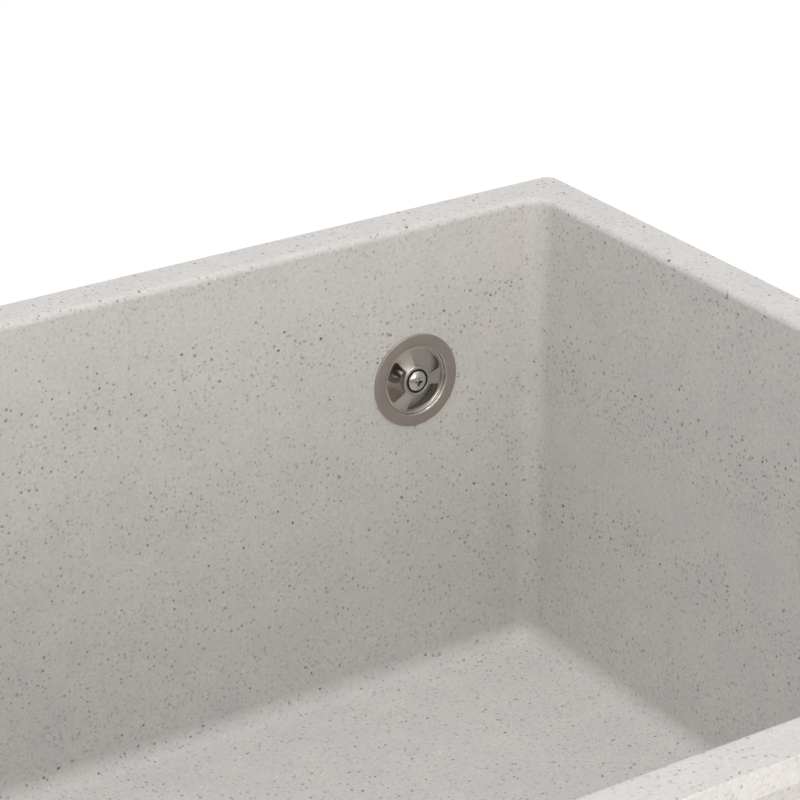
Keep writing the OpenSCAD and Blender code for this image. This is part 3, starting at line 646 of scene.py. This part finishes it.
def cover():
    """Pressed cover: satin flange, a dish whose three spokes rise to the hub, and a seat for the screw."""
    bore, seat_r, seat_z = 2.6, 5.4, HEAD_Z - 0.5
    bm = lathe(outline([
        (bore, HUB_BACK), (bore, NECK_Z), (4.2, seat_z), (seat_r, seat_z), (seat_r, HUB_FRONT, 0.15),
        (HUB_R, HUB_FRONT, 0.3), (HUB_R, HUB_FRONT - 0.3, 0.15), (DISH_R, -1.05, 0.6), (DISH_R, 1, 0.9),
        (COVER_R, 1, 0.25), (COVER_R, 0), (SKIRT_R, 0, 0.5), (SKIRT_R, -2.15, 0.6),
        (HUB_R, HUB_FRONT - 1.3), (HUB_R, HUB_BACK, 0.2)], 7), 192)
    bm = cut(bm, gathered([turned(cover_window(), math.tau * k / 3 + COVER_TURN) for k in range(3)]))
    # The screw's seat takes a near-black finish: painted shade for the gap round the head.
    satin, polished, dark = range(3)
    for face in bm.faces:
        p = face.calc_center_median()
        radius = math.hypot(p.x, p.y)
        seat = radius < 5.45 and p.z < HUB_FRONT - 0.1
        face.material_index = dark if seat else satin if radius > 16.1 or p.z < -1.5 else polished
    piece("overflow_trim", moved(bm, ON_WALL), "satin_nickel", "overflow_cover",
          others=["polished_nickel", "seat_painted_shade"], edge=0.12)


def overflow_screw():
    """Raised-head screw with a cross recess and a threaded shank."""
    edge, dome, pitch, tip = HEAD_Z + 1, 1.3, 0.8, -24.5
    sphere = (HEAD_R ** 2 + dome ** 2) / (2 * dome)
    section = []
    for k in range(8):
        r = HEAD_R * k / 8
        section.append((r, edge + dome - sphere + math.sqrt(sphere ** 2 - r ** 2)))
    section += [(HEAD_R - 0.12, edge + 0.02), (HEAD_R, edge - 0.2), (HEAD_R, HEAD_Z), (SHANK_R, NECK_Z)]
    for k in range(int((NECK_Z - tip) / pitch)):
        z = NECK_Z - 0.3 - pitch * k
        section += [(SHANK_R, z), (SHANK_R - 0.38, z - pitch / 2)]
    bm = lathe(section + [(0, tip)], closed=False, steps=64)
    wings = []
    for k in range(2):
        wing = block((-2.5, -0.5, edge - 1), (2.5, 0.5, edge + 3))
        for v in wing.verts:
            if v.co.z < edge:
                v.co.x *= 0.45
        wings.append(turned(wing, CROSS_TURN + math.pi / 2 * k))
    bm = moved(cut(bm, joined(*wings)), ON_WALL)
    piece("overflow_screw_shape", bm, "bright_steel", "overflow_screw", edge=0.1)


def overflow_body():
    """Moulded cup behind the wall, with its boss and its threaded spigot."""
    cup_r, flange_r, gasket_z, bore, boss_r = 20, 26, -10.5, 17.8, 6
    shell = lathe(outline([
        (0, -CUP_BACK), (cup_r, -CUP_BACK, 2), (cup_r, -CUP_FRONT, 1.2), (flange_r, -CUP_FRONT, 0.8),
        (flange_r, gasket_z, 0.5), (0, gasket_z)]), closed=False)
    ribs = [turned(gusset((19, -0.9, -CUP_FRONT - 9), (24.8, 0.9, -CUP_FRONT + 0.5), 19.6),
                   math.tau * (k + 0.5) / 6) for k in range(6)]
    bm = moved(joined(shell, gathered(ribs)), ON_WALL)
    upright = Matrix.Translation((OVERFLOW.x, SPIGOT_Y, 0))
    spigot = [(0, SPIGOT_Z), (LEAD_IN_R, SPIGOT_Z)]
    spigot += threaded(SPIGOT_R, SPIGOT_Z, SPIGOT_Z + THREAD_L, THREAD_PITCH, THREAD_DEPTH)
    spigot += [(SPIGOT_R, SPIGOT_Z + THREAD_L + 0.5), (SPIGOT_R, OVERFLOW.z), (0, OVERFLOW.z)]
    bm = joined(bm, moved(lathe(spigot, 64, closed=False), upright))
    bm = cut(bm, moved(rod(bore, -39, 0, 96), ON_WALL))
    bm = cut(bm, moved(rod(BORE_R, SPIGOT_Z - 1, OVERFLOW.z, 48), upright))
    boss = [(0, -40), (boss_r, -40), (boss_r, -CUP_FRONT), (3.6, -CUP_FRONT), (3.6, -25.5), (0, -25.5)]
    bm = joined(bm, moved(lathe(boss, 48, closed=False), ON_WALL))
    piece("overflow_cup", bm, "light_plastic", "overflow_body", flats=True)


def strainer_cup():
    """Pressed cup: flange, sloping shoulder, ledge, and a sump with the grid."""
    z = CUP_TOP
    section = outline([
        (0, z - 41.2), (27.2, z - 41.2, 1.6), (27.2, z - 33.2, 0.6), (41.2, z - 33.2, 2.2),
        (41.2, z - 7.2, 1.5), (44.7, z - 1.2, 1.5), (57, z - 1.2, 0.3), (57, z, 0.8), (43.5, z, 2.4),
        (40, z - 6, 2.4), (40, z - 32, 1.4), (26, z - 32, 1.4), (26, z - 40, 0.8), (0, z - 40)])
    grid = holes(8, 17, 4.5, z - 43, z - 38) + [rod(3.3, z - 43, z - 38, 32)]
    bm = cut(lathe(section, 128, closed=False), gathered(grid))
    piece("strainer_cup_shape", at_drain(bm), "stainless", "strainer_cup", edge=0.2)


def waste_body():
    """Moulded chamber with its flange, gussets, overflow port and threaded outlet."""
    bore, chamber_r, shell_r, flange_r, outlet_r = 19.5, 43, 46, 54, 23.9
    section = outline([(bore, OUTLET_Z, 0.6), (bore, CHAMBER_Z, 1.0), (chamber_r, CHAMBER_Z, 2.0),
                       (chamber_r, WASTE_TOP), (flange_r, WASTE_TOP, 0.6), (flange_r, WASTE_TOP - 4, 0.6),
                       (shell_r, WASTE_TOP - 4, 1.5), (shell_r, WASTE_LOW, 5), (25.5, WASTE_LOW, 1.5),
                       (25.5, WASTE_LOW - 2, 0.6)])
    section += [(outlet_r - 1, WASTE_LOW - 2.2)]
    section += threaded(outlet_r, WASTE_LOW - 2.4, OUTLET_Z + 1.2, 2.6, 1.0) + [(outlet_r - 1.3, OUTLET_Z)]
    bm = at_drain(lathe(section, 128))
    gussets = [at_drain(turned(gusset((45, -1.1, WASTE_TOP - 16), (52.5, 1.1, WASTE_TOP - 3.5), 45.6),
                               PORT_ANGLE + math.tau * (k + 0.5) / 8)) for k in range(8)]
    outward = Matrix.Rotation(PORT_ANGLE, 4, "Z") @ Matrix.Rotation(math.pi / 2, 4, "Y")
    port = Matrix.Translation((0, DRAIN_Y, PORT_Z)) @ outward
    thread_z = PORT_END - THREAD_L
    spigot = [(0, 44), (SPIGOT_R, 44), (SPIGOT_R, thread_z)]
    spigot += threaded(SPIGOT_R, thread_z, PORT_END, THREAD_PITCH, THREAD_DEPTH)
    spigot += [(LEAD_IN_R, PORT_END), (0, PORT_END)]
    bm = joined(bm, gathered(gussets + [moved(lathe(spigot, 64, closed=False), port)]))
    bm = cut(bm, moved(rod(BORE_R, 36, PORT_END + 1, 48), port))
    boss = lathe([(0, CHAMBER_Z), (7.5, CHAMBER_Z), (7.5, BOSS_Z), (4.5, BOSS_Z), (4.5, BOSS_Z - 10),
                  (0, BOSS_Z - 10)], 48, closed=False)
    arms = [turned(block((5, -1.5, CHAMBER_Z - 1.5), (chamber_r + 0.5, 1.5, CHAMBER_Z + 9.5)),
                   PORT_ANGLE + math.radians(60 + 120 * k)) for k in range(3)]
    bm = joined(bm, at_drain(joined(boss, gathered(arms))))
    piece("waste_body_shape", bm, "grey_plastic", "waste_body", flats=True)


def basket():
    """Perforated basket with its guiding sleeve."""
    low, high = ([1000 * c for c in corner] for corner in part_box("basket"))
    lip_z = CUP_TOP - 3 - low[2]
    lip_r = (high[0] - low[0]) / 2
    sleeve_r, sleeve_z = 3.05, high[2] - low[2]
    sheet = 0.8
    bm = lathe(outline([
        (sleeve_r, 0), (33, 0, 2.2), (38, lip_z, 0.5), (lip_r, lip_z, 0.3), (lip_r, lip_z + sheet, 0.35),
        (37.3, lip_z + sheet, 1.0), (32.3, sheet, 1.5), (5, sheet, 1.2), (5, sleeve_z, 0.5),
        (sleeve_r, sleeve_z, 0.3)]), 144)
    slots = []
    for k in range(24):
        slot = block((31.4, -1.5, lip_z * 0.25), (41.2, 1.5, lip_z * 0.8))
        rounded(slot, [e for e in slot.edges if (e.verts[0].co - e.verts[1].co).yz.length < 0.01], 1.35)
        slots.append(turned(slot, math.tau * k / 24))
    rounds = holes(12, 16.5, 2, -1, 2, 0.5, 20) + holes(12, 25.74, 2, -1, 2, steps=20)
    bm = at_drain(cut(bm, gathered(slots + rounds)), low[2])
    piece("basket_shape", bm, "stainless", "basket", "basket", edge=0.12)


def stopper_knob():
    """Knob with a finger groove, on the stopper's post."""
    low, high = (corner[2] * 1000 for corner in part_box("stopper_knob"))
    post_r, middle = 3.05, low + (high - low) / 2
    section = outline([(post_r, low), (8.5, low, 0.6), (12, low + 2.2, 1.2), (12, high - 2, 1.8),
                       (9.5, high, 1.5), (7.2, high - 0.5, 1.5), (0, high - 0.9)])
    bm = at_drain(lathe(section + [(0, middle), (post_r, middle)], closed=False))
    piece("stopper_knob_shape", bm, "knob_plastic", "stopper_knob", "stopper")


def small_parts():
    """Pieces whose own shape is right, with their edges eased."""
    for node, slot, edge in (
        ("stopper_post", "bright_steel", 0.3), ("stopper_plate", "stainless", 0.3),
        ("stopper_seal", "black_rubber", 0.6), ("stopper_nut", "bright_steel", 0.3),
    ):
        softened(node, slot, edge, "stopper")
    for node, slot, edge in (
        ("hanger_brackets", "zinc_plate", 0.4), ("bracket_washers", "zinc_plate", 0.15),
        ("bracket_screws", "zinc_plate", 0.3), ("clamp_screw", "bright_steel", 0.3),
        ("upper_hose_nut", "dark_plastic", 0.8), ("lower_hose_nut", "dark_plastic", 0.8),
        ("upper_hose_cuff", "hose_plastic", 0.3), ("lower_hose_cuff", "hose_plastic", 0.3),
        ("overflow_gasket", "black_rubber", 0.3), ("waste_gasket", "black_rubber", 0.4),
        ("strainer_seal", "black_rubber", 0.2), ("upper_hose_seal", "black_rubber", 0.2),
        ("lower_hose_seal", "black_rubber", 0.2), ("lug_inserts", "brass", 0.2),
        ("overflow_insert", "brass", 0.2), ("waste_insert", "brass", 0.2),
    ):
        softened(node, slot, edge)


def seen(tree):
    """1 for rays from the camera, and for what metal and clear pieces mirror or pass."""
    path = tree.nodes.new("ShaderNodeLightPath")
    total = path.outputs["Is Camera Ray"]
    for ray in ("Is Glossy Ray", "Is Transmission Ray"):
        most = tree.nodes.new("ShaderNodeMath")
        most.operation = "MAXIMUM"
        tree.links.new(total, most.inputs[0])
        tree.links.new(path.outputs[ray], most.inputs[1])
        total = most.outputs[0]
    return total


def mixed(tree, amount, first, second):
    """Shader that goes from the first to the second with the amount."""
    mix = tree.nodes.new("ShaderNodeMixShader")
    for socket, source in zip(mix.inputs, (amount, first, second)):
        tree.links.new(source, socket)
    return mix.outputs[0]


def sky():
    """White surroundings with an even light."""
    world = bpy.data.worlds.new("studio")
    scene.world = world
    world.use_nodes = True
    tree = world.node_tree
    light = tree.nodes["Background"]
    light.inputs["Color"].default_value = (1.0, 0.985, 1.005, 1)
    light.inputs["Strength"].default_value = 0.56
    white = tree.nodes.new("ShaderNodeBackground")
    white.inputs["Strength"].default_value = 1.0
    tree.links.new(mixed(tree, seen(tree), light.outputs[0], white.outputs[0]),
                   tree.nodes["World Output"].inputs["Surface"])


def ground():
    """White floor that keeps the sink's shadow, and is clear from below."""
    bm = bmesh.new()
    bmesh.ops.create_grid(bm, x_segments=1, y_segments=1, size=4.0)
    bmesh.ops.translate(bm, verts=bm.verts, vec=(0, 0, cad_box[0][2] - 0.004))
    floor = bpy.data.objects.new("floor", as_mesh(bm, "floor"))
    scene.collection.objects.link(floor)
    paint = bpy.data.materials.new("floor_white")
    paint.use_nodes = True
    tree = paint.node_tree
    matt = tree.nodes["Principled BSDF"]
    matt.inputs["Base Color"].default_value = (0.86, 0.86, 0.86, 1)
    matt.inputs["Roughness"].default_value = 0.9
    glow = tree.nodes.new("ShaderNodeEmission")
    glow.inputs["Strength"].default_value = 1.05
    share = tree.nodes.new("ShaderNodeMath")
    share.operation = "MULTIPLY"
    share.inputs[1].default_value = 0.88
    tree.links.new(seen(tree), share.inputs[0])
    above = mixed(tree, share.outputs[0], matt.outputs[0], glow.outputs[0])
    side = tree.nodes.new("ShaderNodeNewGeometry").outputs["Backfacing"]
    clear = tree.nodes.new("ShaderNodeBsdfTransparent").outputs[0]
    tree.links.new(mixed(tree, side, above, clear), tree.nodes["Material Output"].inputs["Surface"])
    floor.data.materials.append(paint)


def lamps():
    """Soft lamps: a place, the point each looks at, its size, power and colour."""
    warm = (1, 0.965, 0.87)
    white = (1, 1, 1)
    for name, place, aim, size, power, colour in (
        ("front", (0, -1.5, 0.5), (0, 0.1, -0.05), 0.9, 4.5, warm),
        ("low_front", (0, -1.5, 0.25), (0, 0.1, -0.05), 0.6, 4.2, warm),
        ("left", (-1.5, 0, 0.35), (0, 0, -0.05), 0.7, 1.1, warm),
        ("over", (0, 0, 1.6), (0, 0, -0.1), 1.6, 3.2, white),
        ("high", (0, 0, 4), (0, 0, -0.1), 0.8, 38, white),
    ):
        light = bpy.data.lights.new(name, "AREA")
        light.size = size
        light.energy = power
        light.color = colour
        lamp = bpy.data.objects.new(name, light)
        lamp.location = place
        lamp.rotation_euler = (Vector(aim) - Vector(place)).to_track_quat("-Z", "Y").to_euler()
        scene.collection.objects.link(lamp)


finishes = {
    "composite": composite("composite", (0.725, 0.707, 0.679), 0.46, 0.02),
    "raw_composite": composite("raw_composite", (0.62, 0.605, 0.58), 0.7, 0.07),
    "satin_nickel": metal("satin_nickel", (0.50, 0.455, 0.42), 0.36),
    "polished_nickel": metal("polished_nickel", (0.57, 0.54, 0.51), 0.2, 0.0012),
    # Painted shade: near-black metal on the screw's seat, standing in for the shade in the gap round the
    # head.
    "seat_painted_shade": metal("seat_painted_shade", (0.12, 0.10, 0.085), 0.5),
    "bright_steel": metal("bright_steel", (0.66, 0.65, 0.64), 0.16),
    "stainless": metal("stainless", (0.66, 0.655, 0.65), 0.22),
    "zinc_plate": metal("zinc_plate", (0.62, 0.63, 0.64), 0.34),
    "brass": metal("brass", (0.72, 0.56, 0.27), 0.25),
    "black_rubber": plastic("black_rubber", (0.035, 0.035, 0.036), 0.62),
    "grey_plastic": plastic("grey_plastic", (0.30, 0.31, 0.32), 0.42),
    "light_plastic": plastic("light_plastic", (0.72, 0.685, 0.65), 0.35, 0.9, 0.01, subsurface_weight=1.0,
                             subsurface_radius=(1, 0.9, 0.85), subsurface_scale=0.01),
    "dark_plastic": plastic("dark_plastic", (0.09, 0.094, 0.10), 0.42),
    "hose_plastic": plastic("hose_plastic", (0.62, 0.63, 0.63), 0.45, 1.2),
    "knob_plastic": plastic("knob_plastic", (0.03, 0.03, 0.032), 0.28, 0.4, 0.004),
}

camera()
hose()
bowl()
cover()
overflow_screw()
overflow_body()
strainer_cup()
waste_body()
basket()
stopper_knob()
small_parts()
sky()
ground()
lamps()
scene.view_settings.view_transform = "Standard"
